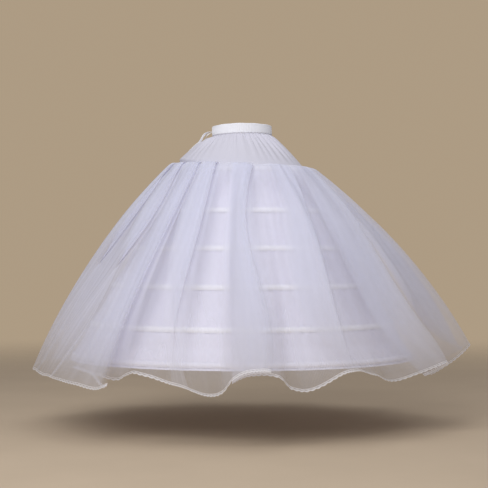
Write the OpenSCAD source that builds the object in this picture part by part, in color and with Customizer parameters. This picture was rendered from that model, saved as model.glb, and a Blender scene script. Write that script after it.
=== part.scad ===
// Hooped petticoat: an elastic waistband with a drawstring, a gathered hip yoke, a six-hoop underskirt
// and a pleated net overskirt with a lace hem.
// The origin is the middle of the worn waist; +Z is up and the wearer faces -Y.
// A bearing is an angle round the body: 0 is the wearer's front and 90 the wearer's left side.

/* [Waistband] */
// Side-to-side width of the worn waistband, outside
waist_width = 232; // [200:1:280]
// Front-to-back depth of the worn waistband, outside
waist_depth = 184; // [150:1:230]
// Height of the waistband
band_height = 35; // [26:1:50]
// Dip of the waistband towards the wearer's back, in degrees
waist_dip = 4; // [0:0.5:6]
// Thickness of the waistband cloth
band_wall = 0.8; // [0.5:0.1:1.5]
// Thickness of the waist elastic
elastic_thick = 1.4; // [0.8:0.1:2.5]
// Free height above and below the elastic inside its casing
elastic_room = 2.5; // [1:0.5:4]

/* [Drawstring] */
// Width of the drawstring tape
string_width = 8; // [5:0.5:12]
// Thickness of the drawstring tape
string_thick = 1.4; // [0.8:0.1:2]
// Bearing midway between the two buttonholes
string_bearing = -136; // [-150:1:-100]
// Angle between the two buttonholes
string_spread = 14; // [10:1:30]
// Clearance of a buttonhole round the tape
buttonhole_room = 0.5; // [0.3:0.1:1.5]
// How much further the tails stand apart at their ends, in degrees
tail_splay = 5; // [0:1:12]
// How far both tails swing towards the back over the depth of the yoke, in degrees
tail_trail = 26; // [0:1:36]

/* [Hip yoke] */
// Radius of the hip seam, where the yoke, underskirt and overskirt meet
hip_radius = 218; // [190:1:240]
// Drop from the middle of the waist to the hip seam
hip_drop = 130; // [100:1:160]
// Gathers round the yoke
gathers = 40; // [24:1:44]
// Depth of the gathers below the waistband, from the middle of the cloth
gather_depth = 3.2; // [1:0.1:4]
// Outward swell of the yoke between waist and hip
yoke_swell = 4; // [0:1:10]
// Thickness of the yoke cloth
yoke_cloth = 1; // [0.6:0.1:1.4]

/* [Underskirt and hoops] */
// Radius of the bottom hoop
base_radius = 602; // [520:1:640]
// Drop from the hip seam to the bottom hoop
cage_drop = 665; // [560:1:700]
// Thickness of the underskirt cloth
skirt_cloth = 1; // [0.6:0.1:1.4]
// Underskirt below the middle of the bottom hoop
skirt_hem = 18; // [14:1:30]
// Width of a hoop band
hoop_width = 9; // [6:0.5:10]
// Thickness of a hoop band
hoop_thick = 1.6; // [1:0.1:2.2]
// Gap between the two ends of a hoop
hoop_end_gap = 6; // [2:1:15]
// Bearing of the top hoop's joiner
joiner_bearing = 150; // [120:1:180]
// Angle from each hoop's joiner to the next hoop's
joiner_step = 9; // [0:1:20]
// Length of a hoop joiner
joiner_length = 44; // [25:1:60]
// Wall of a hoop joiner
joiner_wall = 0.5; // [0.4:0.1:0.8]
// Thickness of the casing cloth
casing_cloth = 0.8; // [0.5:0.1:1.2]
// Width of each sewn edge of a casing
casing_edge = 2.5; // [1.5:0.1:3]

/* [Net overskirt] */
// How far the net crests reach past the bottom hoop
net_flare = 148; // [140:1:190]
// How far the deepest fold of the net hangs below the bottom hoop
net_fall = 75; // [50:1:110]
// Width of the ledge where the pleats turn out over the hip seam
ledge = 34; // [20:1:50]
// Drop of the net across the ledge
ledge_dip = 3; // [1:1:5]
// Outward swell of the net between ledge and hem
net_swell = 46; // [30:1:70]
// How late in their fall the folds leave their bearing at the heading for their bearing at the hem
sway = 1.3; // [1:0.1:2]
// Depth of the pleats at the ledge, from the middle of the net
pleat_depth = 5; // [1:0.5:6]
// Thickness of the layered net
net_cloth = 0.8; // [0.5:0.1:1]
// Width of the heading tape along the hip seam
heading_width = 4; // [3:0.5:5]
// Thickness of the heading tape
heading_thick = 1; // [0.6:0.1:1.4]
// Width of the hem lace
lace_width = 11; // [6:1:20]
// Thickness of the hem lace
lace_thick = 0.8; // [0.5:0.1:1.2]

/* [Fits] */
// Gap left between cloths that are sewn together
cloth_gap = 0.3; // [0.2:0.05:0.4]
// Clearance between a hoop and its joiner
joiner_fit = 0.25; // [0.2:0.05:0.4]
// Extra reach of a cut past the face that it opens
overrun = 2; // [1:0.5:3]

/* [Hidden] */
// Where each hoop lies, as a share of the slope from hip seam to bottom hoop
hoop_shares = [0.019, 0.24, 0.435, 0.63, 0.835, 1];
// Rows of the yoke: share of the way down, and share of the gather depth there
yoke_row_shares = [[0, 0.45], [0.12, 1], [0.4, 0.75], [0.7, 0.4], [1, 0]];
// How much the depth varies from one gather to the next
gather_vary_share = 0.35;
// Rows of the net below the heading: share of the way from ledge to hem, and share of the pleat depth there
net_row_shares = [[0, 1], [0.1, 0.6], [0.28, 0.1], [0.47, 0], [0.65, 0], [0.83, 0], [1, 0]];
// Pleat depth at the heading, as a share of the depth at the ledge
heading_pleat_share = 0.06;
// Hem width that a scallop of the lace loses at its sides
scallop_share = 0.3;
// Folds of the net in order round the hem: hem bearing, reach share, drop share and heading bearing
fold_shares = [
    [-130, 0.993, 0.959, -128],
    [-112, 0.971, 0.978, -114],
    [-96, 0.968, 0.993, -103],
    [-81, 0.963, 1.003, -92],
    [-78, 0.900, 0.970, -83],
    [-74, 0.890, 0.951, -75],
    [-67, 0.984, 0.916, -67],
    [-58, 0.957, 0.957, -60],
    [-48, 0.920, 1.010, -52],
    [-44, 0.933, 0.993, -44],
    [-42, 0.980, 0.932, -38],
    [-38, 1.003, 0.905, -33],
    [-31, 0.997, 0.914, -27],
    [-27, 0.933, 0.976, -21],
    [-21, 0.928, 0.982, -13],
    [-13, 1.003, 0.903, -3],
    [-5, 0.980, 0.930, 5],
    [4, 0.936, 0.968, 13],
    [13, 0.967, 0.943, 21],
    [24, 1.012, 0.908, 27],
    [28, 0.952, 0.945, 33],
    [36, 1.000, 0.914, 40],
    [50, 1.074, 0.860, 51],
    [66, 1.037, 0.924, 66],
    [80, 0.970, 0.966, 80],
    [94, 1.029, 0.905, 94],
    [108, 0.940, 0.984, 108],
    [122, 1.003, 0.908, 122],
    [136, 0.931, 0.986, 136],
    [150, 1.007, 0.903, 150],
    [165, 0.933, 0.980, 165],
    [180, 1.000, 0.912, 180],
    [196, 0.936, 0.984, 196],
    [213, 0.984, 0.932, 213]
];
// Points taken along each fold, an even number so that the pleats alternate all the way round
fold_steps = 6;
// Route of a drawstring tail: share of the way down the yoke, and lift off the yoke's middle surface
tail_route = [[0.1, 28], [0.28, 20], [0.42, 13], [0.57, 9], [0.72, 7], [0.86, 6]];
// Straight run of a tail out of its buttonhole
tail_lead = 14;
// Points taken along each stretch of a tail's route
tail_steps = 3;
// Points round the waist oval
oval_steps = 96;

net_reach = base_radius + net_flare;
net_drop = cage_drop + net_fall;
slope = atan2(cage_drop, base_radius - hip_radius);
slope_length = norm([cage_drop, base_radius - hip_radius]);
band_thick = 2 * band_wall + elastic_thick + string_thick + 3 * cloth_gap;
// Height above the underskirt's middle surface of what is sewn on to it
seat = skirt_cloth / 2 + cloth_gap;
joiner_high = hoop_thick + 2 * (joiner_fit + joiner_wall);
joiner_half = hoop_width / 2 + joiner_fit + joiner_wall;
casing_top = seat + joiner_high + cloth_gap;
casing_half = joiner_half + cloth_gap;
heading_top = seat + heading_thick + cloth_gap + net_cloth / 2;
heading_seam = slope_point(heading_width / 2, heading_top);
$fn = 120;

hoop_numbers = [1 : len(hoop_shares)];

function unit(v) = v / norm(v);
function outward(bearing) = [sin(bearing), -cos(bearing), 0];
function upright(bearing, r, z) = r * outward(bearing) + [0, 0, z];

// Smooth curve through b and c, with a and d as the points before and after
function curve(a, b, c, d, u) = (2 * b + (c - a) * u + (2 * a - 5 * b + 4 * c - d) * u * u
    + (3 * b - a - 3 * c + d) * u * u * u) / 2;

// Radius and height of a place on the underskirt's slope, given down the slope and off its surface
function slope_point(down, off) = [
    hip_radius + down * cos(slope) + off * sin(slope),
    -hip_drop - down * sin(slope) + off * cos(slope)
];

// Place on the dipped waist oval, grown outwards, at a height along the band
function dipped(p) = [
    p.x,
    p.y * cos(waist_dip) + p.z * sin(waist_dip),
    p.z * cos(waist_dip) - p.y * sin(waist_dip)
];
function oval(bearing, grow) = [
    (waist_width / 2 + grow) * sin(bearing),
    -(waist_depth / 2 + grow) * cos(bearing)
];
function oval_facing(bearing) = dipped(unit([sin(bearing) / waist_width, -cos(bearing) / waist_depth, 0]));
function oval_ring(grow) = [for (k = [0 : oval_steps - 1]) oval(360 * k / oval_steps, grow)];

// Middle surface of the yoke at a share of the way down, pushed out by off
function yoke_point(bearing, down_share, off) = let (
    rim = oval(bearing, -band_thick / 2),
    top = dipped([rim.x, rim.y, -band_height / 2 - cloth_gap - yoke_cloth / 2]),
    foot = upright(bearing, hip_radius, cloth_gap + yoke_cloth / 2 - hip_drop),
    rise = (hip_radius - norm(rim)) * min(1, down_share / yoke_row_shares[1][0]),
    facing = unit(outward(bearing) * (hip_drop - band_height / 2) + [0, 0, rise])
) top + (foot - top) * down_share + facing * (yoke_swell * 4 * down_share * (1 - down_share) + off);

// Folds carry on round the body past the ends of their table
function fold_row(k) = let (n = len(fold_shares), turn = floor(k / n))
    fold_shares[k - turn * n] + [360 * turn, 0, 0, 360 * turn];
function fold_at(col) = let (k = floor(col / fold_steps))
    curve(fold_row(k - 1), fold_row(k), fold_row(k + 1), fold_row(k + 2), col / fold_steps - k);

// Middle surface of the net below its ledge, pushed out by off
function net_point(fold, down_share, off) = let (
    ledge_edge = heading_seam + [ledge, -ledge_dip],
    hem = [net_reach * fold[1], heading_seam.y - net_drop * fold[2]],
    chord = hem - ledge_edge,
    facing = unit([-chord.y, chord.x]),
    p = ledge_edge + chord * down_share + facing * (net_swell * 4 * down_share * (1 - down_share) + off),
    bearing = fold[3] + (fold[0] - fold[3]) * pow(down_share, sway)
) upright(bearing, p.x, p.y);

// Directions off a grid of points that closes on itself along each row
function grid_facing(grid, i, j) = let (
    cols = len(grid[i]),
    along = grid[i][(j + 1) % cols] - grid[i][(j + cols - 1) % cols],
    down = grid[min(i + 1, len(grid) - 1)][j] - grid[max(i - 1, 0)][j]
) unit(cross(down, along));
function grid_moved(grid, off) = [
    for (i = [0 : len(grid) - 1], j = [0 : len(grid[i]) - 1]) grid[i][j] + off * grid_facing(grid, i, j)
];
function quad(a, b, c, d) = [[a, b, c], [a, c, d]];

// Closed wall of an even thickness round a grid of rows that each close on themselves
module wall(grid, thick) {
    rows = len(grid);
    cols = len(grid[0]);
    inner = rows * cols;
    last = inner - cols;
    faces = [
        for (j = [0 : cols - 1]) let (k = (j + 1) % cols) each concat(
            [for (i = [0 : rows - 2]) each quad(i * cols + j, i * cols + k, (i + 1) * cols + k, (i + 1) * cols + j)],
            [for (i = [0 : rows - 2]) each quad(inner + i * cols + j, inner + (i + 1) * cols + j,
                inner + (i + 1) * cols + k, inner + i * cols + k)],
            quad(k, j, inner + j, inner + k),
            quad(last + j, last + k, inner + last + k, inner + last + j)
        )
    ];
    polyhedron(concat(grid_moved(grid, thick / 2), grid_moved(grid, -thick / 2)), faces);
}

// Band that follows the waist oval between two growths
module oval_band(outer, inner, high) {
    rotate([-waist_dip, 0, 0])
        linear_extrude(height = high, center = true)
            polygon(
                concat(oval_ring(outer), oval_ring(inner)),
                [[for (k = [0 : oval_steps - 1]) k], [for (k = [0 : oval_steps - 1]) oval_steps + k]]
            );
}

// Block at a buttonhole, reaching from inside the band to outside it
module at_buttonhole(side, inside, outside, wide, high) {
    bearing = string_bearing + side * string_spread / 2;
    rotate([-waist_dip, 0, 0])
        translate(concat(oval(bearing, 0), [0]))
            rotate([0, 0, atan2(-cos(bearing) / waist_depth, sin(bearing) / waist_width)])
                translate([(outside - inside) / 2, 0, 0])
                    cube([inside + outside, wide, high], center = true);
}

module waistband_casing() {
    inside = band_thick - band_wall;
    hole_wide = string_width + 2 * buttonhole_room;
    hole_high = string_thick + 2 * buttonhole_room;
    color("#f2f2f6") difference() {
        oval_band(0, -band_thick, band_height);
        oval_band(-band_wall, -inside, band_height - 2 * band_wall);
        at_buttonhole(-1, band_wall + overrun / 2, overrun, hole_wide, hole_high);
        at_buttonhole(1, band_wall + overrun / 2, overrun, hole_wide, hole_high);
    }
}

module waist_elastic() {
    start = band_wall + cloth_gap + string_thick + cloth_gap;
    color("#e4e4e8") oval_band(-start, -start - elastic_thick, band_height - 2 * (band_wall + elastic_room));
}

module drawstring() {
    start = band_wall + cloth_gap;
    span = string_spread / 2;
    color("#fafafc") {
        difference() {
            oval_band(-start, -start - string_thick, string_width);
            rotate([-waist_dip, 0, 0])
                linear_extrude(height = band_height, center = true)
                    polygon([[0, 0], 2 * oval(string_bearing - span, 0), 2 * oval(string_bearing + span, 0)]);
        }
        at_buttonhole(-1, start + string_thick / 2, 0, string_width, string_thick);
        at_buttonhole(1, start + string_thick / 2, 0, string_width, string_thick);
    }
}

// One free end of the drawstring: flat tape that leaves a buttonhole and falls on to the yoke
module drawstring_tail(side) {
    bearing = string_bearing + side * string_spread / 2;
    facing = oval_facing(bearing);
    mouth = dipped(concat(oval(bearing, 0), [0])) + cloth_gap * facing;
    stops = concat(
        [mouth, mouth + tail_lead * facing],
        [for (p = tail_route) yoke_point(bearing + (side * tail_splay - tail_trail) * p[0], p[0], p[1])]
    );
    last = len(stops) - 1;
    rings = last * tail_steps;
    function stop(k) = stops[max(0, min(last, k))];
    function middle(i) = let (k = min(floor(i / tail_steps), last - 1))
        curve(stop(k - 1), stop(k), stop(k + 1), stop(k + 2), i / tail_steps - k);
    function heading(i) = i == 0 ? facing : unit(middle(min(i + 1, rings)) - middle(i - 1));
    function ring(i) = let (
        flat = unit(cross([0, 0, 1], heading(i))),
        wide = flat * string_width / 2,
        thick = cross(heading(i), flat) * string_thick / 2
    ) [middle(i) + wide + thick, middle(i) - wide + thick, middle(i) - wide - thick, middle(i) + wide - thick];
    end = 4 * rings;
    faces = concat(
        quad(3, 2, 1, 0),
        quad(end, end + 1, end + 2, end + 3),
        [for (i = [0 : rings - 1], k = [0 : 3]) each quad(4 * i + k, 4 * i + (k + 1) % 4,
            4 * i + 4 + (k + 1) % 4, 4 * i + 4 + k)]
    );
    color("#fafafc") polyhedron([for (i = [0 : rings]) each ring(i)], faces);
}

module hip_yoke() {
    steps = 4 * gathers;
    function gather(j) = cos(360 * j * gathers / steps) * (1 + gather_vary_share * sin(3 * 360 * j / steps + 40));
    grid = [
        for (row = yoke_row_shares) [
            for (j = [0 : steps - 1])
                yoke_point(360 * j / steps, row[0], gather_depth * row[1] * gather(j))
        ]
    ];
    color("#eaeaf0") wall(grid, yoke_cloth);
}

// Turns a section drawn down the underskirt's slope about the body
module round_slope(down, angle) {
    rotate_extrude(angle = angle)
        translate(slope_point(down, 0))
            rotate(-slope)
                children();
}

module underskirt() {
    color("#eeeef4") round_slope(0, 360)
        translate([0, -skirt_cloth / 2])
            square([slope_length + skirt_hem, skirt_cloth]);
}

module hoop_casing(i) {
    shoulder = casing_half + casing_cloth;
    edge = shoulder + casing_edge;
    color("#f8f8fc") round_slope(hoop_shares[i - 1] * slope_length, 360)
        polygon([
            [-edge, seat], [-shoulder, seat], [-casing_half, casing_top],
            [casing_half, casing_top], [shoulder, seat], [edge, seat],
            [edge, seat + casing_cloth], [shoulder + casing_cloth, seat + casing_cloth],
            [casing_half + casing_cloth, casing_top + casing_cloth],
            [-casing_half - casing_cloth, casing_top + casing_cloth],
            [-shoulder - casing_cloth, seat + casing_cloth], [-edge, seat + casing_cloth]
        ]);
}

function hoop_down(i) = hoop_shares[i - 1] * slope_length;
function hoop_turn(i) = joiner_bearing + joiner_step * (i - 1) - 90;
// Angle that a length takes up along a hoop
function hoop_angle(i, length) = length / slope_point(hoop_down(i), seat).x * 180 / PI;

module hoop(i) {
    gap = hoop_angle(i, hoop_end_gap);
    color("#c8c8cc") rotate([0, 0, hoop_turn(i) + gap / 2])
        round_slope(hoop_down(i), 360 - gap)
            translate([-hoop_width / 2, seat + joiner_wall + joiner_fit])
                square([hoop_width, hoop_thick]);
}

module hoop_joiner(i) {
    span = hoop_angle(i, joiner_length);
    color("#dcdce0") rotate([0, 0, hoop_turn(i) - span / 2])
        round_slope(hoop_down(i), span)
            difference() {
                translate([-joiner_half, seat])
                    square([2 * joiner_half, joiner_high]);
                translate([joiner_wall - joiner_half, seat + joiner_wall])
                    square([2 * (joiner_half - joiner_wall), joiner_high - 2 * joiner_wall]);
            }
}

module overskirt_heading() {
    color("#f4f4f8") round_slope(0, 360)
        translate([0, seat])
            square([heading_width, heading_thick]);
}

fold_cols = len(fold_shares) * fold_steps;
// Pleats alternate from one point to the next round the net
function pleat(j, share) = pleat_depth * share * (j % 2 == 0 ? 1 : -1);

module net_overskirt() {
    folds = [for (j = [0 : fold_cols - 1]) fold_at(j)];
    heading = [
        for (j = [0 : fold_cols - 1])
            upright(folds[j][3], heading_seam.x + pleat(j, heading_pleat_share), heading_seam.y)
    ];
    fall = [
        for (row = net_row_shares) [
            for (j = [0 : fold_cols - 1]) net_point(folds[j], row[0], pleat(j, row[1]))
        ]
    ];
    color("#f4f4fa", 0.6) wall(concat([heading], fall), net_cloth);
}

module hem_lace() {
    near_hem_share = 0.98;
    folds = [for (j = [0 : fold_cols - 1]) fold_at(j)];
    function lace_point(j, down) = let (hem = net_point(folds[j], 1, 0))
        hem + down * unit(hem - net_point(folds[j], near_hem_share, 0));
    function scallop(j) = lace_width * (1 - scallop_share * (j % 2));
    grid = [
        [for (j = [0 : fold_cols - 1]) lace_point(j, 2 * cloth_gap)],
        [for (j = [0 : fold_cols - 1]) lace_point(j, 2 * cloth_gap + scallop(j))]
    ];
    color("#fcfcff") wall(grid, lace_thick);
}

waistband_casing();
waist_elastic();
drawstring();
drawstring_tail(-1);  // drawstring_tail_1
drawstring_tail(1);  // drawstring_tail_2
hip_yoke();
underskirt();
for (i = hoop_numbers) {
    hoop_casing(i);
    hoop(i);
    hoop_joiner(i);
}
overskirt_heading();
net_overskirt();
hem_lace();
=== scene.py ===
import bpy
import math
import numpy as np
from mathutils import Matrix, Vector


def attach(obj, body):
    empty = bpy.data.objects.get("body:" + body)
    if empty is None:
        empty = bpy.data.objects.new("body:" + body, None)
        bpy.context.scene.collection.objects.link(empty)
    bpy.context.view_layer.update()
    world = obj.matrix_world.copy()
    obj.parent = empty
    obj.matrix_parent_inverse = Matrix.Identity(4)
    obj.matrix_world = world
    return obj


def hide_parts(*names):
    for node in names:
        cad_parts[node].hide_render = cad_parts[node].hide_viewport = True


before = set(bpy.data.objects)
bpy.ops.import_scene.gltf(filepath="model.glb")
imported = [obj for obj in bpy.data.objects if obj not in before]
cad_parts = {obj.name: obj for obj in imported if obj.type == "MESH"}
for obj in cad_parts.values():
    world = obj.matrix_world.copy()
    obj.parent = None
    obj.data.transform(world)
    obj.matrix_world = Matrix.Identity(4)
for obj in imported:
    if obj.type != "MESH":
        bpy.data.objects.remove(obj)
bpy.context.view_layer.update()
mm = 0.001
weld = 0.00002  # metres within which doubles are merged
print("frame loaded:", len(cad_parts), "nodes")

# Shapes shared by the pieces, in millimetres; bearing 0 is the wearer's front, 90 the wearer's left
waist = {"width": 232, "depth": 184, "height": 35, "dip": 4, "thick": 5.3}
hip = {"radius": 218, "drop": 130, "swell": 4, "cloth": 1, "gap": 0.3, "turnOut": 0.12, "turnIn": 0.9,
       "lean": 24, "leanBearing": -130, "leanWidth": 40, "leanCurve": 0.6}
cage = {"radius": 602, "drop": 665, "hem": 18, "seam": 50, "hoops": [0.019, 0.24, 0.435, 0.63, 0.835, 1]}

slope = math.atan2(cage["drop"], cage["radius"] - hip["radius"])
slopeLength = math.hypot(cage["drop"], cage["radius"] - hip["radius"])


def unit(v):
    return v / np.linalg.norm(v, axis=-1, keepdims=True)


def smoothStep(low, high, x):
    s = np.clip((x - low) / (high - low), 0, 1)
    return s * s * (3 - 2 * s)


def bow(share):
    # 1 in the middle, 0 at both ends
    return 4 * share * (1 - share)


def turnFrom(bearing, middle):
    # degrees from the middle bearing, the short way round
    return np.mod(bearing - middle + 180, 360) - 180


def near(bearing, middle, width):
    # 1 at the middle bearing, falling away on both sides
    return np.exp(-(turnFrom(bearing, middle) / width) ** 2)


def outward(bearing):
    turn = np.radians(bearing)
    return np.stack([np.sin(turn), -np.cos(turn), np.zeros_like(turn)], -1)


def upright(bearing, radius, height):
    place = outward(bearing) * np.asarray(radius)[..., None]
    place[..., 2] = height
    return place


def dipped(p):
    # the band tips a little, higher in front than behind
    dip = math.radians(waist["dip"])
    x, y, z = p[..., 0], p[..., 1], p[..., 2]
    return np.stack([x, y * math.cos(dip) + z * math.sin(dip), z * math.cos(dip) - y * math.sin(dip)], -1)


def oval(bearing, grow, height):
    turn = np.radians(bearing)
    x = (waist["width"] / 2 + grow) * np.sin(turn)
    y = -(waist["depth"] / 2 + grow) * np.cos(turn)
    return np.stack([x, y, np.broadcast_to(height, np.shape(x))], -1)


def slopePoint(down, off):
    # radius and height on the cone of the hoops, down from the hip seam and off outwards from it
    radius = hip["radius"] + down * math.cos(slope) + off * math.sin(slope)
    height = -hip["drop"] - down * math.sin(slope) + off * math.cos(slope)
    return radius, height


def yokePoint(bearing, share, off):
    # a point of the yoke, from the band at share 0 to the hip seam at share 1
    seat = hip["gap"] + hip["cloth"] / 2
    rim = oval(bearing, -waist["thick"] / 2, -waist["height"] / 2 - seat)
    top = dipped(rim)
    foot = upright(bearing, np.full(np.shape(bearing), float(hip["radius"])), seat - hip["drop"])
    facing = outward(bearing) * (hip["drop"] - waist["height"] / 2)
    rise = hip["radius"] - np.hypot(rim[..., 0], rim[..., 1])
    facing[..., 2] = rise * np.minimum(1, share / hip["turnOut"])
    held = smoothStep(0, hip["turnOut"], share) * (1 - smoothStep(hip["turnIn"], 1, share))
    side = near(bearing, hip["leanBearing"], hip["leanWidth"])
    lean = hip["lean"] * side * share ** hip["leanCurve"] * held
    push = hip["swell"] * bow(share) + lean + off
    return top + (foot - top) * np.asarray(share)[..., None] + unit(facing) * np.asarray(push)[..., None]


def pickNone():
    if bpy.context.object and bpy.context.object.mode != "OBJECT":
        bpy.ops.object.mode_set(mode="OBJECT")
    bpy.ops.object.select_all(action="DESELECT")


def clothSheet(name, across, down, place, density=None):
    # a flat grid of cloth, laid point by point where place puts it; u runs round and v down
    pickNone()
    bpy.ops.mesh.primitive_grid_add(x_subdivisions=across, y_subdivisions=down, size=1, calc_uvs=True)
    piece = bpy.context.object
    piece.name = piece.data.name = name
    flat = np.zeros(len(piece.data.vertices) * 3)
    piece.data.vertices.foreach_get("co", flat)
    flat = flat.reshape(-1, 3)
    u = flat[:, 0] + 0.5
    v = 0.5 - flat[:, 1]
    piece.data.vertices.foreach_set("co", (place(u, v) * mm).ravel())
    if density:
        piece.data.attributes.new("netShare", "FLOAT", "POINT").data.foreach_set("value", density(u, v))
    piece.data.update()
    bpy.ops.object.mode_set(mode="EDIT")
    bpy.ops.mesh.select_all(action="SELECT")
    bpy.ops.mesh.remove_doubles(threshold=weld)
    bpy.ops.object.mode_set(mode="OBJECT")
    bpy.ops.object.shade_smooth()
    return piece


def alongOutline(outline, v):
    # both values of an outline's points, v from its first point at 0 to its last at 1
    step = np.arange(len(outline))
    along = v * (len(outline) - 1)
    return np.interp(along, step, outline[:, 0]), np.interp(along, step, outline[:, 1])


class Wire:
    # a shader socket that can be used in sums
    def __init__(self, tree, socket):
        self.tree = tree
        self.socket = socket

    def node(self, kind, settings, inputs, out=0):
        made = self.tree.nodes.new(kind)
        for key, value in settings.items():
            setattr(made, key, value)
        for key, value in inputs.items():
            if isinstance(value, Wire):
                self.tree.links.new(value.socket, made.inputs[key])
            else:
                made.inputs[key].default_value = value
        return Wire(self.tree, made.outputs[out])

    def __add__(self, other):
        return self.node("ShaderNodeMath", {"operation": "ADD"}, {0: self, 1: other})

    def __radd__(self, other):
        return self.node("ShaderNodeMath", {"operation": "ADD"}, {0: other, 1: self})

    def __sub__(self, other):
        return self.node("ShaderNodeMath", {"operation": "SUBTRACT"}, {0: self, 1: other})

    def __rsub__(self, other):
        return self.node("ShaderNodeMath", {"operation": "SUBTRACT"}, {0: other, 1: self})

    def __mul__(self, other):
        return self.node("ShaderNodeMath", {"operation": "MULTIPLY"}, {0: self, 1: other})

    def __rmul__(self, other):
        return self.node("ShaderNodeMath", {"operation": "MULTIPLY"}, {0: other, 1: self})


def another(wire, key):
    # another output of the node that a wire comes from
    return Wire(wire.tree, wire.socket.node.outputs[key])


def feed(wire, socket):
    wire.tree.links.new(wire.socket, socket)


def mixColour(start, share, one, two):
    return start.node("ShaderNodeMix", {"data_type": "RGBA"}, {0: share, 6: one, 7: two}, 2)


def noise(start, coords, scale, detail=3.0):
    return start.node("ShaderNodeTexNoise", {}, {"Vector": coords, "Scale": scale, "Detail": detail})


def raised(start, height, strength):
    return start.node("ShaderNodeBump", {}, {"Strength": strength, "Distance": mm, "Height": height})


def uvParts(start):
    uv = start.node("ShaderNodeUVMap", {}, {})
    across = start.node("ShaderNodeSeparateXYZ", {}, {0: uv})
    return across, another(across, 1)


def startFinish(name, constant):
    # a new material; values that are the same all over go straight on the shader
    material = bpy.data.materials.new(name)
    material.use_nodes = True
    tree = material.node_tree
    shader = tree.nodes["Principled BSDF"]
    for key, value in constant.items():
        shader.inputs[key].default_value = value
    return material, shader, Wire(tree, None)


def wovenThread(start, across, down):
    return noise(start, start.node("ShaderNodeCombineXYZ", {}, {0: across, 1: down}), 1.0, 1.0)


# Plain weave: threads drawn out lengthwise, soft blotches and small creases, as shares and noise scales
weaveLook = {"drawn": 0.1, "blotchScale": 9, "creaseScale": 38, "blotch": 0.7, "thread": 0.3,
             "threadShine": 0.12, "blotchDull": 0.08, "threadRelief": 0.5, "creaseRelief": 0.8,
             "sheenRough": 0.5, "shine": 0.25}


def wovenFinish(name, look):
    # on the piece's own UV map, with so many threads across and down
    material, shader, start = startFinish(name, {"Sheen Weight": look["sheen"],
                                                 "Sheen Roughness": weaveLook["sheenRough"],
                                                 "Specular IOR Level": weaveLook["shine"]})
    across, down = uvParts(start)
    warps, wefts = look["threads"]
    warp = wovenThread(start, across * warps, down * wefts * weaveLook["drawn"])
    weft = wovenThread(start, across * warps * weaveLook["drawn"], down * wefts)
    weave = (warp + weft) * 0.5
    solid = start.node("ShaderNodeTexCoord", {}, {}, 3)
    blotch = noise(start, solid, weaveLook["blotchScale"])
    crease = noise(start, solid, weaveLook["creaseScale"], 4.0)
    shade = blotch * weaveLook["blotch"] + weave * weaveLook["thread"]
    rough = look["rough"] - weave * weaveLook["threadShine"] + blotch * weaveLook["blotchDull"]
    relief = weave * weaveLook["threadRelief"] + crease * weaveLook["creaseRelief"]
    feed(mixColour(start, shade, look["dim"], look["bright"]), shader.inputs["Base Color"])
    feed(rough, shader.inputs["Roughness"])
    feed(raised(start, relief, look["bump"]), shader.inputs["Normal"])
    return material


veilPass = 0.42  # share of the light on an open cloth's threads that they pass on


def veil(material, shader, start, share, colour):
    # open cloth: its threads pass light on, and between them it is clear
    cloth = Wire(start.tree, shader.outputs[0])
    through = start.node("ShaderNodeBsdfTranslucent", {}, {"Color": colour})
    threads = start.node("ShaderNodeMixShader", {}, {0: veilPass, 1: cloth, 2: through})
    clear = start.node("ShaderNodeBsdfTransparent", {}, {})
    shown = start.node("ShaderNodeMixShader", {}, {0: share, 1: clear, 2: threads})
    feed(shown, material.node_tree.nodes["Material Output"].inputs["Surface"])


def dress(piece, material):
    piece.data.materials.clear()
    piece.data.materials.append(material)


def settle(piece, slot, *nodes):
    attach(piece, "root")
    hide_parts(*nodes)


# Drawstring tails: flat tape out of each buttonhole, lying down over the yoke; the route gives shares of
# the yoke's depth and the lift off it
tape = {"bearing": -136, "spread": 14, "width": 8, "thick": 1.4, "lead": 12, "splay": 5, "trail": 26,
        "route": [[0.1, 22], [0.3, 8], [0.45, 7], [0.6, 7], [0.74, 6.5], [0.86, 6]], "steps": 10,
        "ring": 12, "square": 0.5, "twist": 55, "twistFrom": 0.08, "twistTo": 0.3,
        "bright": (0.95, 0.95, 0.98, 1), "dim": (0.88, 0.88, 0.93, 1), "threads": (14, 90),
        "bump": 0.5, "rough": 0.75, "sheen": 0.2}


def holeBearing(side):
    return tape["bearing"] + side * tape["spread"] / 2


def holePlace(side):
    # middle of a buttonhole in the band's outer face
    return dipped(oval(np.array(holeBearing(side)), 0, 0.0))


def smoothCurve(a, b, c, d, u):
    return (2 * b + (c - a) * u + (2 * a - 5 * b + 4 * c - d) * u ** 2 + (3 * b - a - 3 * c + d) * u ** 3) / 2


def tailStops(side):
    bearing = holeBearing(side)
    turn = math.radians(bearing)
    facing = dipped(unit(np.array([math.sin(turn) / waist["width"], -math.cos(turn) / waist["depth"], 0])))
    mouth = holePlace(side) + hip["gap"] * facing
    stops = [mouth, mouth + tape["lead"] * facing]
    for share, lift in tape["route"]:
        aim = np.array(bearing + (side * tape["splay"] - tape["trail"]) * share)
        stops.append(yokePoint(aim, np.array(share), lift))
    return np.array(stops)


def tailLine(side):
    stops = tailStops(side)
    last = len(stops) - 1
    line = []
    for i in range(last * tape["steps"] + 1):
        k = min(i // tape["steps"], last - 1)
        ends = [stops[max(0, min(last, k + j))] for j in (-1, 0, 1, 2)]
        line.append(smoothCurve(*ends, i / tape["steps"] - k))
    return np.array(line)


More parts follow.
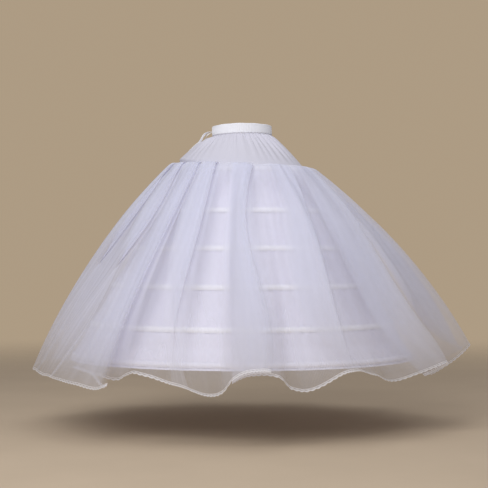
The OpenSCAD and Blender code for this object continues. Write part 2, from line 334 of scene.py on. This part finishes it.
def tailPiece(number, side):
    line = tailLine(side)
    ahead = unit(np.gradient(line, axis=0))
    level = unit(np.cross(np.array([0, 0, 1.0]), ahead))
    rise = np.cross(ahead, level)
    # the limp tape turns on its edge once it is out of the buttonhole
    far = np.linspace(0, 1, len(line))
    turned = smoothStep(tape["twistFrom"], tape["twistTo"], far)[:, None]
    twist = side * math.radians(tape["twist"]) * turned
    flat = level * np.cos(twist) + rise * np.sin(twist)
    up = rise * np.cos(twist) - level * np.sin(twist)
    # a flat tape with soft edges: a squared-off oval section
    edge = 2 * math.pi * np.arange(tape["ring"]) / tape["ring"]
    acrossShare = np.sign(np.cos(edge)) * np.abs(np.cos(edge)) ** tape["square"]
    highShare = np.sign(np.sin(edge)) * np.abs(np.sin(edge)) ** tape["square"]

    def place(u, v):
        i = np.rint(v * (len(line) - 1)).astype(int)
        k = np.rint(u * tape["ring"]).astype(int) % tape["ring"]
        wide = acrossShare[k] * tape["width"] / 2
        high = highShare[k] * tape["thick"] / 2
        return line[i] + flat[i] * wide[:, None] + up[i] * high[:, None]

    piece = clothSheet("drawstring_tail_%d_tape" % number, tape["ring"], len(line) - 1, place)
    # close both ends
    bpy.ops.object.mode_set(mode="EDIT")
    bpy.ops.mesh.select_all(action="DESELECT")
    bpy.ops.mesh.select_non_manifold()
    bpy.ops.mesh.edge_face_add()
    bpy.ops.mesh.select_all(action="SELECT")
    bpy.ops.mesh.normals_make_consistent(inside=False)
    bpy.ops.object.mode_set(mode="OBJECT")
    length = float(np.sum(np.linalg.norm(np.diff(line, axis=0), axis=1))) * mm
    return piece, line * mm, length


tapeFinish = wovenFinish("cottonTape", tape)
for number, side in ((1, -1), (2, 1)):
    tail, line, length = tailPiece(number, side)
    dress(tail, tapeFinish)
    settle(tail, "string_tape", "drawstring_tail_%d" % number)
    print("tail", number, "length", round(length, 4))

# Net overskirt: first its shape, in millimetres and shares, then how much of it there is, then its looks
net = {"reach": 750, "drop": 740, "ledge": 34, "ledgeDip": 3, "ledgeShare": 0.045, "headDown": 2,
       "headOff": 2.5, "swell": 46, "puff": 5, "ride": 10, "rideBearing": -130, "ridePuff": 0.4,
       "fine": 1.5, "broad": 3, "low": 1, "layerTop": 8, "layerHem": 12, "layerSewn": 0.08, "close": 0.55,
       "columns": 1080, "rows": 84,
       "dense": 0.58, "denseHem": 0.37, "denseHead": 0.27, "headShare": 0.09, "denseMost": 0.95,
       "streak": 0.04, "thin": 0.44, "thinBearing": -43, "thinWidth": 45, "thinFrom": 0.03, "thinTo": 0.18,
       "bunch": 0.5, "bunchBearing": -108, "bunchWidth": 30,
       "innerThin": 0.75, "innerFrom": 0.5, "innerTo": 0.95,
       "bright": (0.865, 0.88, 0.985, 1), "dim": (0.81, 0.825, 0.935, 1),
       "through": (0.845, 0.86, 0.965, 1), "cells": 420, "cellShape": (5.4, 0.9, 1), "cellVary": 0.35,
       "threadIn": 0.02, "threadOut": 0.22, "cloudScale": 5, "cloud": 0.16, "thread": 0.2, "least": 0.86,
       "bump": 0.15, "rough": 0.85, "sheen": 0.25, "sheenRough": 0.4, "shine": 0.2}

# Shape of the net round the hem: bearing, reach share, drop share
hemTable = np.array([
    [-130, 0.993, 0.957], [-112, 0.971, 0.964], [-99, 0.968, 0.975], [-88, 0.968, 0.987], [-79, 0.968, 0.998],
    [-73, 0.974, 0.950], [-67, 0.984, 0.917], [-58, 0.957, 0.957], [-49, 0.922, 1.008], [-45, 0.930, 0.998],
    [-42, 0.975, 0.938], [-38, 1.003, 0.905], [-31, 0.997, 0.914], [-27, 0.938, 0.972], [-21, 0.930, 0.982],
    [-13, 1.000, 0.905], [-5, 0.980, 0.930], [4, 0.936, 0.968], [13, 0.960, 0.948], [23, 1.014, 0.910],
    [28, 0.990, 0.925], [36, 1.000, 0.914], [50, 1.074, 0.860], [66, 1.037, 0.924], [80, 0.970, 0.966],
    [94, 1.029, 0.905], [108, 0.940, 0.984], [122, 1.003, 0.908], [136, 0.931, 0.986], [150, 1.007, 0.903],
    [165, 0.933, 0.980], [180, 1.000, 0.912], [196, 0.936, 0.984], [213, 0.984, 0.932]])

# Knife pleats of the net: bearing of the front edge and of the back edge at four heights from the heading
# to the hem; then how far the layers behind part from the front one at the hem, as reach and drop shares,
# and how softly the back edge and the front edge show
pleatHeights = (0, 0.3, 0.6, 1)
pleats = np.array([
    [[-113, -102, -110, -124], [-126, -112, -106, -118], [-0.01, 0.00, 0.5, 0.9]],
    [[-94, -86, -95, -109], [-106, -96, -91, -103], [-0.01, 0.00, 0.3, 0.9]],
    [[-75, -72, -74, -76], [-89, -82, -84, -102], [-0.10, -0.045, 0.3, 0.9]],
    [[-60, -57.5, -58.5, -58], [-73, -68, -63.5, -54], [-0.01, 0.00, 0.6, 0.6]],
    [[-31, -38, -35, -33], [-47, -45.5, -44, -42.5], [-0.005, 0.00, 0.2, 0.7]],
    [[0, -8, -12, -12], [-15, -18, -21, -8], [-0.01, 0.00, 0.85, 0.35]],
    [[30, 22, 19, 26], [10, 3, 4, 20], [-0.06, 0.040, 0.15, 0.4]],
    [[62, 56, 52, 58], [38, 27, 24, 48], [-0.02, 0.01, 0.3, 0.6]],
    [[96, 94, 92, 93], [76, 72, 72, 87], [-0.02, 0.00, 0.8, 0.5]],
    [[127, 126, 124, 123], [112, 109, 108, 117], [-0.02, 0.01, 0.8, 0.4]],
    [[158, 155, 153, 152], [141, 138, 136, 147], [-0.02, 0.00, 1, 0.5]],
    [[187, 186, 185, 183], [172, 169, 167, 178], [-0.02, 0.01, 0.8, 0.4]],
    [[219, 216, 214, 211], [203, 199, 198, 207], [-0.02, 0.00, 1, 0.5]]])

# How a pleat folds: shares of its run from edge to edge; shut, open and close are in degrees of bearing
fold = {"forth": 0.6, "even": 0.35, "turn": 0.05, "turnDepth": 0.5, "shut": -4, "open": 5, "part": 0.6,
        "closeBefore": 4, "closeAfter": 12, "fade": 0.35, "fadeDepth": 0.8, "edge": 0.92, "edgeSoft": 0.2,
        "edgeBack": 0.25, "window": 0.12}


def ease(s):
    return fold["even"] * s + (1 - fold["even"]) * (1 - np.cos(math.pi * s)) / 2


def heightCurve(four, share):
    # the smooth line through four values at the pleat heights
    total = 0
    for i, at in enumerate(pleatHeights):
        part = four[..., i]
        for j, other in enumerate(pleatHeights):
            if j != i:
                part = part * (share - other) / (at - other)
        total = total + part
    return total


def pleatAt(i):
    # pleat i, counted on past the last one with a whole turn added
    turns = np.floor_divide(i, len(pleats))
    found = pleats[i - turns * len(pleats)].copy()
    found[..., :2, :] += (360 * turns)[..., None, None]
    return found


def netLayer(u, share):
    # the net's columns at a height: where they lie, which layer they are (1 in front, -1 behind), how far
    # the layers part at the hem, where the net is single between pleats, and how much of it shows
    place = np.asarray(u) * len(pleats)
    k = np.floor(place).astype(int)
    w = place - k
    here = pleatAt(k)
    before = pleatAt(k - 1)
    front = heightCurve(here[..., 0, :], share)
    behind = heightCurve(here[..., 1, :], share)
    lastFront = heightCurve(before[..., 0, :], share)
    lastBehind = heightCurve(before[..., 1, :], share)
    # each pleat runs forth from the last back edge to its front edge, and then back under itself
    going = w < fold["forth"]
    forth = np.clip(w / fold["forth"], 0, 1)
    along = np.clip((w - fold["forth"]) / (1 - fold["forth"]), 0, 1)
    bearing = np.where(going, lastBehind + (front - lastBehind) * ease(forth),
                       front + (behind - front) * ease(along))
    across = smoothStep(lastFront, behind, bearing)
    turning = 1 - fold["turnDepth"] * np.exp(-forth / fold["turn"])
    turning = turning * (1 - fold["turnDepth"] * np.exp(-(1 - forth) / fold["turn"]))
    # a pleat that opens out has no layers left to part
    lastOpen = smoothStep(fold["shut"], fold["open"], lastFront - lastBehind)
    nowOpen = smoothStep(fold["shut"], fold["open"], front - behind)
    spread = 2 * across - 1
    opened = np.where(spread < 0, lastOpen, nowOpen)
    layer = np.where(going, opened * spread * turning, (0.5 - along) * nowOpen)
    closing = 1 - smoothStep(lastFront - fold["closeBefore"], lastFront + fold["closeAfter"], bearing)
    parting = smoothStep(0, fold["part"], along)
    reach = np.where(going, before[..., 2, 0] * closing, here[..., 2, 0] * parting)
    drop = np.where(going, before[..., 2, 1] * closing, here[..., 2, 1] * parting)
    window = smoothStep(0, fold["window"], across) * (1 - smoothStep(1 - fold["window"], 1, across))
    # the turned-under layers fade towards a soft back edge, and the front one towards its own edge
    soft = np.where(going, before[..., 2, 2] * (1 - smoothStep(0, fold["fade"], forth)) * lastOpen,
                    here[..., 2, 2] * smoothStep(fold["fade"], 1, along) * nowOpen)
    edge = np.where(going, smoothStep(fold["edge"] - fold["edgeSoft"] * here[..., 2, 3], 1, forth),
                    1 - smoothStep(0, fold["edgeBack"], along)) * nowOpen
    # the layer between them spreads out and thins towards the hem
    low = smoothStep(net["innerFrom"], net["innerTo"], share)
    inner = np.where(going, 0, net["innerThin"] * low * nowOpen)
    shown = (1 - fold["fadeDepth"] * soft) * (1 - here[..., 2, 3] * edge) * (1 - inner)
    return {"bearing": bearing, "layer": layer, "reach": reach, "drop": drop,
            "window": np.where(going, window, 0), "shown": shown}


def hemAt(bearing):
    # reach and drop shares of the hem at a bearing
    start = hemTable[0, 0]
    turned = np.mod(bearing - start, 360) + start
    wide = np.concatenate([hemTable[-2:] - [360, 0, 0], hemTable, hemTable[:3] + [360, 0, 0]])
    k = np.clip(np.searchsorted(wide[:, 0], turned, side="right") - 1, 1, len(wide) - 3)
    a, b, c, d = wide[k - 1], wide[k], wide[k + 1], wide[k + 2]
    run = c[..., 0] - b[..., 0]
    s = (turned - b[..., 0]) / run
    found = []
    for i in (1, 2):
        inSlope = (c[..., i] - a[..., i]) / (c[..., 0] - a[..., 0]) * run
        outSlope = (d[..., i] - b[..., i]) / (d[..., 0] - b[..., 0]) * run
        found.append((2 * s ** 3 - 3 * s ** 2 + 1) * b[..., i] + (s ** 3 - 2 * s ** 2 + s) * inSlope
                     + (3 * s ** 2 - 2 * s ** 3) * c[..., i] + (s ** 3 - s ** 2) * outSlope)
    return found


def rippleShape(bearing, share):
    # soft ripples of the net, close together at the heading and broad lower down; counts and starts as given
    a = np.radians(bearing)
    drift = 1.4 * np.sin(3 * a + 0.4) + 1.1 * np.sin(7 * a + 2.1)
    fine = np.sin(64 * a + 2.2 * drift) * (0.6 + 0.4 * np.sin(15 * a + 1.0)) * np.exp(-(share / 0.13) ** 2)
    broad = np.sin(31 * a + 1.7 * drift + 0.8) * np.exp(-((share - 0.2) / 0.25) ** 2)
    low = np.sin(47 * a + 2.0 * drift + 2.0) * smoothStep(0.55, 1, share)
    return net["fine"] * fine + net["broad"] * broad + net["low"] * low


def netPoint(u, v):
    # v runs from the heading at 0, over the ledge beside it, down to the hem at 1
    share = np.clip((v - net["ledgeShare"]) / (1 - net["ledgeShare"]), 0, 1)
    over = np.clip(v / net["ledgeShare"], 0, 1)
    pleat = netLayer(u, share)
    bearing = pleat["bearing"]
    reach, drop = hemAt(bearing)
    opening = share ** 3
    headRadius, headHeight = slopePoint(net["headDown"], net["headOff"])
    lift = net["ride"] * np.cos(np.radians(bearing - net["rideBearing"]))
    edge = np.stack([np.full_like(lift, headRadius + net["ledge"]), headHeight - net["ledgeDip"] + lift], -1)
    hem = np.stack([net["reach"] * (reach + pleat["reach"] * opening),
                    headHeight - net["drop"] * (drop + pleat["drop"] * opening)], -1)
    chord = hem - edge
    facing = unit(np.stack([-chord[..., 1], chord[..., 0]], -1))
    push = net["swell"] * bow(share) + rippleShape(bearing, share) * over
    p = edge + chord * share[..., None] + facing * push[..., None]
    head = np.array([headRadius, headHeight])
    ledgePlace = head + (p - head) * over[..., None]
    ledgePlace[..., 1] += (net["puff"] + net["ridePuff"] * lift) * bow(over)
    # the layers lie close together, one on top of the other, where they are sewn into the heading
    bunched = near(bearing, net["bunchBearing"], net["bunchWidth"])
    room = (net["layerTop"] + (net["layerHem"] - net["layerTop"]) * share) * (1 - net["close"] * bunched)
    room = room * (net["layerSewn"] + (1 - net["layerSewn"]) * over)
    apart = unit(facing * over[..., None] + np.array([0, 1]) * (1 - over)[..., None])
    p = np.where((v < net["ledgeShare"])[..., None], ledgePlace, p)
    p = p + apart * (pleat["layer"] * room)[..., None]
    return upright(bearing, p[..., 0], p[..., 1])


def netDensity(u, v):
    # how much of the net there is: most where it is gathered, least at the hem, in streaks along the gathers
    turn = 2 * math.pi * u
    streak = np.sin(83 * turn + 3 * np.sin(11 * turn)) + np.sin(131 * turn + 1) + np.sin(211 * turn + 2)
    pleat = netLayer(u, v)
    side = near(pleat["bearing"], net["bunchBearing"], net["bunchWidth"])
    front = near(pleat["bearing"], net["thinBearing"], net["thinWidth"])
    spread = net["dense"] + (net["denseHem"] - net["dense"]) * v ** (4 + 4 * side)
    spread = spread + net["denseHead"] * np.exp(-(v / net["headShare"]) ** 2)
    bunch = 1 + net["bunch"] * side * (1 - v ** 6)
    thin = 1 - net["thin"] * pleat["window"] * front * smoothStep(net["thinFrom"], net["thinTo"], v)
    dense = pleat["shown"] * spread * bunch * thin * (1 + net["streak"] * streak)
    return np.minimum(net["denseMost"], dense)


def tulleFinish():
    material, shader, start = startFinish("tulle", {"Roughness": net["rough"], "Sheen Weight": net["sheen"],
                                                    "Sheen Roughness": net["sheenRough"],
                                                    "Specular IOR Level": net["shine"]})
    uv = start.node("ShaderNodeUVMap", {}, {})
    mesh = start.node("ShaderNodeMapping", {}, {"Vector": uv, "Scale": net["cellShape"]})
    cells = start.node("ShaderNodeTexVoronoi", {"feature": "DISTANCE_TO_EDGE", "voronoi_dimensions": "2D"},
                       {"Vector": mesh, "Scale": net["cells"], "Randomness": net["cellVary"]})
    threads = start.node("ShaderNodeMapRange", {},
                         {0: cells, 1: net["threadIn"], 2: net["threadOut"], 3: 1.0, 4: 0.0})
    cloud = noise(start, start.node("ShaderNodeTexCoord", {}, {}, 3), net["cloudScale"])
    density = start.node("ShaderNodeAttribute", {"attribute_name": "netShare"}, {}, 2)
    share = density * (net["least"] + cloud * net["cloud"] + threads * net["thread"])
    feed(mixColour(start, cloud, net["dim"], net["bright"]), shader.inputs["Base Color"])
    feed(raised(start, threads, net["bump"]), shader.inputs["Normal"])
    veil(material, shader, start, share, net["through"])
    return material


netSheet = clothSheet("net_overskirt_sheet", net["columns"], net["rows"], netPoint, netDensity)
dress(netSheet, tulleFinish())
settle(netSheet, "net", "net_overskirt")
print("net made")

# Lace along the hem: a cord line at the top, a row of eyelets and a close picot edge below
lace = {"width": 11, "scallops": 590, "steps": 6, "rows": 4, "valley": 0.72, "above": 0.985,
        "eyeletRow": 0.62, "eyeletIn": 0.1, "eyeletOut": 0.24, "eyelet": 0.45, "eyeletVary": 0.5,
        "least": 0.44, "thread": 0.5, "bump": 0.6, "rough": 0.9, "threadShine": 0.2,
        "sheen": 0.2, "shine": 0.2,
        "bright": (0.93, 0.93, 0.97, 1), "dim": (0.80, 0.80, 0.88, 1), "through": (0.92, 0.92, 0.96, 1)}


def lacePoint(u, v):
    hem = netPoint(u, np.ones_like(u))
    run = unit(hem - netPoint(u, np.full_like(u, lace["above"])))
    place = np.rint(u * lace["scallops"] * lace["steps"]) / lace["steps"]
    scallop = np.abs(np.sin(math.pi * place))
    width = lace["width"] * (lace["valley"] + (1 - lace["valley"]) * scallop)
    return hem + run * (v * width)[:, None]


def laceFinish():
    material, shader, start = startFinish("picotLace", {"Sheen Weight": lace["sheen"],
                                                        "Specular IOR Level": lace["shine"]})
    along, down = uvParts(start)
    away = start.node("ShaderNodeMath", {"operation": "ABSOLUTE"}, {0: down - lace["eyeletRow"]})
    row = start.node("ShaderNodeMapRange", {"interpolation_type": "SMOOTHSTEP"},
                     {0: away, 1: lace["eyeletIn"], 2: lace["eyeletOut"], 3: 1.0, 4: 0.0})
    turns = along * (2 * math.pi * lace["scallops"])
    wave = start.node("ShaderNodeMath", {"operation": "SINE"}, {0: turns}) * 0.5 + 0.5
    thread = 1 - row * (lace["eyelet"] + wave * lace["eyeletVary"])
    feed(mixColour(start, thread, lace["dim"], lace["bright"]), shader.inputs["Base Color"])
    feed(lace["rough"] - thread * lace["threadShine"], shader.inputs["Roughness"])
    feed(raised(start, thread, lace["bump"]), shader.inputs["Normal"])
    veil(material, shader, start, lace["least"] + thread * lace["thread"], lace["through"])
    return material


laceStrip = clothSheet("hem_lace_strip", lace["scallops"] * lace["steps"], lace["rows"], lacePoint)
dress(laceStrip, laceFinish())
settle(laceStrip, "lace", "hem_lace")
print("lace made")

# Underskirt: a plain cone that sags a little between its hoops
under = {"sag": 5, "sagRun": 60, "wrinkle": 1.6, "wrinkleRise": 25, "wrinkleFade": 90, "clear": 0.2,
         "columns": 480, "rows": 110,
         "bright": (0.84, 0.83, 0.94, 1), "dim": (0.78, 0.77, 0.89, 1), "threads": (900, 180),
         "bump": 0.2, "rough": 0.72, "sheen": 0.15}


def hoopNear(down):
    spots = np.array(cage["hoops"]) * slopeLength
    return np.min(np.abs(down[..., None] - spots), axis=-1)


def underPoint(u, v):
    down = v * (slopeLength + cage["hem"])
    away = hoopNear(down)
    sag = under["sag"] * np.clip(away / under["sagRun"], 0, 1) ** 1.5
    # wrinkles run down from the hoops' seams and die away between them
    a = 2 * math.pi * u
    wrinkle = np.sin(64 * a + 3 * np.sin(5 * a)) * 0.6 + np.sin(27 * a + 2.0 + v * 4) * 0.4
    wrinkle = wrinkle * np.clip(away / under["wrinkleRise"], 0, 1) * np.exp(-away / under["wrinkleFade"])
    radius, height = slopePoint(down, np.minimum(under["wrinkle"] * wrinkle - sag, under["clear"]))
    return upright(360 * u + cage["seam"], radius, height)


skirtSheet = clothSheet("underskirt_sheet", under["columns"], under["rows"], underPoint)
dress(skirtSheet, wovenFinish("polyesterLining", under))
settle(skirtSheet, "skirt_cloth", "underskirt")
print("underskirt made")

# Hoop casings: strips sewn down at both edges over each hoop
casing = {"half": 6.45, "seat": 0.8, "low": 3.1, "high": 4.2, "joiner": 150, "step": 9,
          "sleeve": 28, "sleeveEnd": 48, "pucker": 0.07, "puckerBroad": 0.05, "least": 0.97, "columns": 480,
          "bright": (0.97, 0.97, 1.0, 1), "dim": (0.93, 0.93, 0.99, 1), "threads": (900, 10),
          "bump": 0.2, "rough": 0.72, "sheen": 0.15}
# the lowest hoop lies in the turned-up hem, in the cloth of the underskirt
hemFacing = dict(casing, bright=(0.88, 0.87, 0.96, 1), dim=(0.83, 0.82, 0.92, 1))
# a strip's section, in shares of its half width and of its height over the hoop
casingLine = np.array([[-1.6, 0.05], [-1.55, 0.12], [-1.25, 0.16], [-1.08, 0.42], [-0.9, 0.82],
                       [-0.5, 0.97], [0, 1], [0.5, 0.97],
                       [0.9, 0.82], [1.08, 0.42], [1.25, 0.16], [1.55, 0.12], [1.6, 0.05]])
casingFinish = wovenFinish("casingTape", casing)
hemFinish = wovenFinish("hemFacing", hemFacing)


def makeCasing(number):
    middle = cage["hoops"][number - 1] * slopeLength
    hoopRadius = slopePoint(middle, 0)[0]
    joiner = casing["joiner"] + casing["step"] * (number - 1)

    def place(u, v):
        across, high = alongOutline(casingLine, v)
        bearing = 360 * u + cage["seam"]
        a = 2 * math.pi * u
        # close over the hoop, fuller over the sleeve that joins its ends
        away = np.abs(turnFrom(bearing, joiner)) * hoopRadius * math.pi / 180
        sleeve = 1 - smoothStep(casing["sleeve"], casing["sleeveEnd"], away)
        full = casing["low"] + (casing["high"] - casing["low"]) * sleeve
        pucker = 1 + casing["pucker"] * np.sin(90 * a + 2 * np.sin(7 * a))
        pucker = pucker + casing["puckerBroad"] * np.sin(47 * a + number)
        off = casing["seat"] + high * full * np.maximum(pucker, casing["least"])
        radius, height = slopePoint(middle + across * casing["half"], off)
        return upright(bearing, radius, height)

    strip = clothSheet("hoop_casing_%d_strip" % number, casing["columns"], len(casingLine) - 1, place)
    dress(strip, hemFinish if number == len(cage["hoops"]) else casingFinish)
    settle(strip, "casing_cloth", "hoop_casing_%d" % number)
    around = 2 * math.pi * hoopRadius * mm


for number in range(1, len(cage["hoops"]) + 1):
    makeCasing(number)
print("casings made")

# Hip yoke gathered into the waistband; depthShares says how deep the gathers are, from the band down
yoke = {"gathers": 40, "depth": 3.4, "vary": 0.35, "fine": 97, "fineDepth": 0.4, "fineRun": 0.35,
        "depthAt": [0, 0.12, 0.4, 0.7, 1], "depthShares": [0.45, 1, 0.75, 0.4, 0],
        "calm": 0.65, "calmBearing": -72, "calmWidth": 36, "columns": 960, "rows": 28,
        # the yoke's colours are darker than the rest of the white cloth: painted shade, standing in for the
        # shade the white lining is in
        "bright": (0.64, 0.63, 0.72, 1), "dim": (0.55, 0.54, 0.62, 1), "threads": (420, 50),
        "bump": 0.2, "rough": 0.72, "sheen": 0.15}


def yokeSheetPoint(u, v):
    bearing = 360 * u
    a = np.radians(bearing)
    depth = np.interp(v, yoke["depthAt"], yoke["depthShares"]) * yoke["depth"]
    drift = 1.3 * np.sin(5 * a + 0.6) + 0.9 * np.sin(9 * a + 2.2)
    uneven = (1 + yoke["vary"] * np.sin(3 * a + 0.7)) * (0.75 + 0.25 * np.sin(7 * a))
    broad = np.cos(yoke["gathers"] * a + drift) * uneven
    fine = yoke["fineDepth"] * np.sin(yoke["fine"] * a + 2.4 * drift) * np.exp(-v / yoke["fineRun"])
    calm = 1 - yoke["calm"] * near(bearing, yoke["calmBearing"], yoke["calmWidth"])
    return yokePoint(bearing, v, depth * (broad + fine) * calm)


yokeSheet = clothSheet("hip_yoke_sheet", yoke["columns"], yoke["rows"], yokeSheetPoint)
dress(yokeSheet, wovenFinish("yokeLiningPaintedShade", yoke))
settle(yokeSheet, "yoke_cloth", "hip_yoke")
print("yoke made")

# Waistband: a folded sleeve, puckered by the elastic inside it, with two buttonholes for the drawstring
band = {"puckers": 118, "depth": 0.5, "inside": 0.4, "edge": 0.9, "slack": 2, "slackFrom": 0.12,
        "slackTo": 0.5, "columns": 720, "rows": 45, "holeReach": 5.2, "holeHigh": 1.25,
        "bright": (0.94, 0.95, 1.0, 1), "dim": (0.89, 0.90, 0.99, 1), "threads": (260, 30),
        "bump": 0.3, "rough": 0.7, "sheen": 0.2}
# the sleeve's section, in shares of its thickness inwards and of its height
bandLine = np.array([[0, 0.46], [0, 0.4], [0, 0.12], [0, 0.035], [0, -0.035], [0, -0.12], [0, -0.4],
                     [0, -0.46], [-0.5, -0.5], [-1, -0.46], [-1, -0.3], [-1, 0], [-1, 0.3], [-1, 0.46],
                     [-0.5, 0.5], [0, 0.46]])


def bandPoint(u, v):
    inward, high = alongOutline(bandLine, v)
    a = 2 * math.pi * u
    pucker = band["depth"] * np.sin(band["puckers"] * a + 3 * np.sin(5 * a))
    pucker = pucker * np.cos(math.pi * high * band["edge"])
    grow = inward * waist["thick"] + np.where(inward > -0.5, pucker, -pucker * band["inside"])
    slack = band["slack"] * (0.5 + 0.3 * np.sin(3 * a + 0.6) + 0.2 * np.sin(11 * a))
    slack = slack * smoothStep(band["slackFrom"], band["slackTo"], high)
    return dipped(oval(360 * u, grow, high * waist["height"] - slack))


def inHole(away):
    return math.hypot(away[0], away[1]) < band["holeReach"] and abs(away[2]) < band["holeHigh"]


bandSleeve = clothSheet("waistband_sleeve", band["columns"], band["rows"], bandPoint)
# the faces in each buttonhole are cut out
bpy.context.tool_settings.mesh_select_mode = (False, False, True)
holes = [holePlace(side) for side in (-1, 1)]
for face in bandSleeve.data.polygons:
    middle = np.array(face.center) / mm
    face.select = any(inHole(middle - hole) for hole in holes)
bpy.ops.object.mode_set(mode="EDIT")
bpy.ops.mesh.delete(type="FACE")
bpy.ops.object.mode_set(mode="OBJECT")
dress(bandSleeve, wovenFinish("waistbandCloth", band))
settle(bandSleeve, "waist_cloth", "waistband_casing")
print("waistband made")

# Heading tape under the top of the net, folded in half over the net's raw edge, fold upwards
headTape = {"width": 4, "seat": 0.8, "thick": 1, "columns": 360,
            "bright": (0.84, 0.84, 0.92, 1), "dim": (0.76, 0.76, 0.85, 1), "threads": (1400, 12),
            "bump": 0.4, "rough": 0.75, "sheen": 0.1}
headLine = np.array([[1, 0], [0.08, 0], [0, 0.5], [0.08, 1], [1, 1]])


def headPoint(u, v):
    down, off = alongOutline(headLine, v)
    radius, height = slopePoint(down * headTape["width"], headTape["seat"] + off * headTape["thick"])
    return upright(360 * u, radius, height)


headStrip = clothSheet("overskirt_heading_tape", headTape["columns"], len(headLine) - 1, headPoint)
dress(headStrip, wovenFinish("headingTwill", headTape))
settle(headStrip, "heading_tape", "overskirt_heading")
print("heading tape made")

# Finishes of the parts that keep their solid form
steel = {"bright": (0.62, 0.62, 0.64, 1), "dim": (0.50, 0.50, 0.52, 1), "grain": 240,
         "rough": 0.3, "roughVary": 0.2}
elastic = {"bright": (0.80, 0.80, 0.84, 1), "dim": (0.68, 0.68, 0.73, 1), "threads": (300, 24),
           "bump": 0.5, "rough": 0.8, "sheen": 0.1}


def steelFinish():
    material, shader, start = startFinish("hoopSteel", {"Metallic": 1.0})
    grain = noise(start, start.node("ShaderNodeTexCoord", {}, {}, 3), steel["grain"], 2.0)
    feed(mixColour(start, grain, steel["dim"], steel["bright"]), shader.inputs["Base Color"])
    feed(steel["rough"] + grain * steel["roughVary"], shader.inputs["Roughness"])
    return material


hoopFinish = steelFinish()
elasticFinish = wovenFinish("ribbedElastic", elastic)
for name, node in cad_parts.items():
    if name.startswith("hoop_") and "casing" not in name:
        dress(node, hoopFinish)
    elif name == "waist_elastic":
        dress(node, elasticFinish)
    elif name == "drawstring":
        dress(node, tapeFinish)
print("finishes set")

# Camera at the photo's angle: level with the middle of the skirt, towards the wearer's right front
shot = {"bearing": -40, "distance": 5.5, "height": -0.405, "focal": 1532, "frame": 488, "centre": 242,
        "sensor": 36, "far": 200}
cameraData = bpy.data.cameras.new("camera")
camera = bpy.data.objects.new("camera", cameraData)
bpy.context.scene.collection.objects.link(camera)
shotTurn = math.radians(shot["bearing"])
back = Vector((math.sin(shotTurn), -math.cos(shotTurn), 0))
camera.location = back * shot["distance"] + Vector((0, 0, shot["height"]))
camera.rotation_mode = "QUATERNION"
camera.rotation_quaternion = (-back).to_track_quat("-Z", "Y")
cameraData.sensor_width = shot["sensor"]
cameraData.lens = shot["sensor"] * shot["focal"] / shot["frame"]
cameraData.shift_x = (shot["frame"] / 2 - shot["centre"]) / shot["frame"]
cameraData.clip_end = shot["far"]
bpy.context.scene.camera = camera
print("camera set")

# Floor that fades into the backdrop, in metres
stageSet = {"floor": -1.055, "radius": 7, "sides": 96, "fadeFrom": 2.2, "fadeTo": 5.5,
            "rough": 0.9, "grain": 3,
            "bright": (0.56, 0.45, 0.33, 1), "dim": (0.50, 0.40, 0.29, 1),
            "backdrop": (0.42, 0.33, 0.23, 1), "ambient": (0.23, 0.23, 0.245, 1)}


def floorFinish():
    material, shader, start = startFinish("paleFloor", {"Roughness": stageSet["rough"]})
    solid = start.node("ShaderNodeTexCoord", {}, {}, 3)
    grain = noise(start, solid, stageSet["grain"])
    feed(mixColour(start, grain, stageSet["dim"], stageSet["bright"]), shader.inputs["Base Color"])
    far = start.node("ShaderNodeVectorMath", {"operation": "LENGTH"}, {0: solid}, 1)
    fade = start.node("ShaderNodeMapRange", {"interpolation_type": "SMOOTHSTEP"},
                      {0: far, 1: stageSet["fadeFrom"], 2: stageSet["fadeTo"], 3: 0.0, 4: 1.0})
    clear = start.node("ShaderNodeBsdfTransparent", {}, {})
    ground = Wire(start.tree, shader.outputs[0])
    mixed = start.node("ShaderNodeMixShader", {}, {0: fade, 1: ground, 2: clear})
    feed(mixed, start.tree.nodes["Material Output"].inputs["Surface"])
    return material


pickNone()
bpy.ops.mesh.primitive_circle_add(vertices=stageSet["sides"], radius=stageSet["radius"], fill_type="NGON",
                                  location=(0, 0, stageSet["floor"]))
floor = bpy.context.object
floor.name = "floor"
bpy.ops.object.transform_apply(location=True, rotation=False, scale=False)
dress(floor, floorFinish())

# Backdrop: its own colour where it is seen, a plain grey where it lights the piece
world = bpy.data.worlds.new("backdrop")
bpy.context.scene.world = world
world.use_nodes = True
start = Wire(world.node_tree, None)
path = start.node("ShaderNodeLightPath", {}, {})
seen = path
for ray in ("Is Glossy Ray", "Is Transmission Ray"):
    seen = start.node("ShaderNodeMath", {"operation": "MAXIMUM"}, {0: seen, 1: another(path, ray)})
sky = world.node_tree.nodes["Background"]
feed(mixColour(start, seen, stageSet["ambient"], stageSet["backdrop"]), sky.inputs["Color"])

# Soft lamps, as the camera sees them: right, forward, up and size in metres, then power in watts
lamps = {"keyLamp": (-1.4, -4.0, 2.2, 2.5, 132), "topLamp": (0.3, -0.5, 3.0, 3.0, 46),
         "fillLamp": (3.0, -3.0, 0.6, 3.0, 9)}
lampAim = Vector((0, 0, -0.4))


def softLamp(name, right, forward, up, size, power):
    data = bpy.data.lights.new(name, "AREA")
    data.size = size
    data.energy = power
    lamp = bpy.data.objects.new(name, data)
    bpy.context.scene.collection.objects.link(lamp)
    side = Vector((-back.y, back.x, 0))
    lamp.location = side * right - back * forward + Vector((0, 0, up))
    lamp.rotation_euler = (lampAim - lamp.location).to_track_quat("-Z", "Y").to_euler()


for name, values in lamps.items():
    softLamp(name, *values)
bpy.context.scene.view_settings.view_transform = "Standard"

print("stage set")
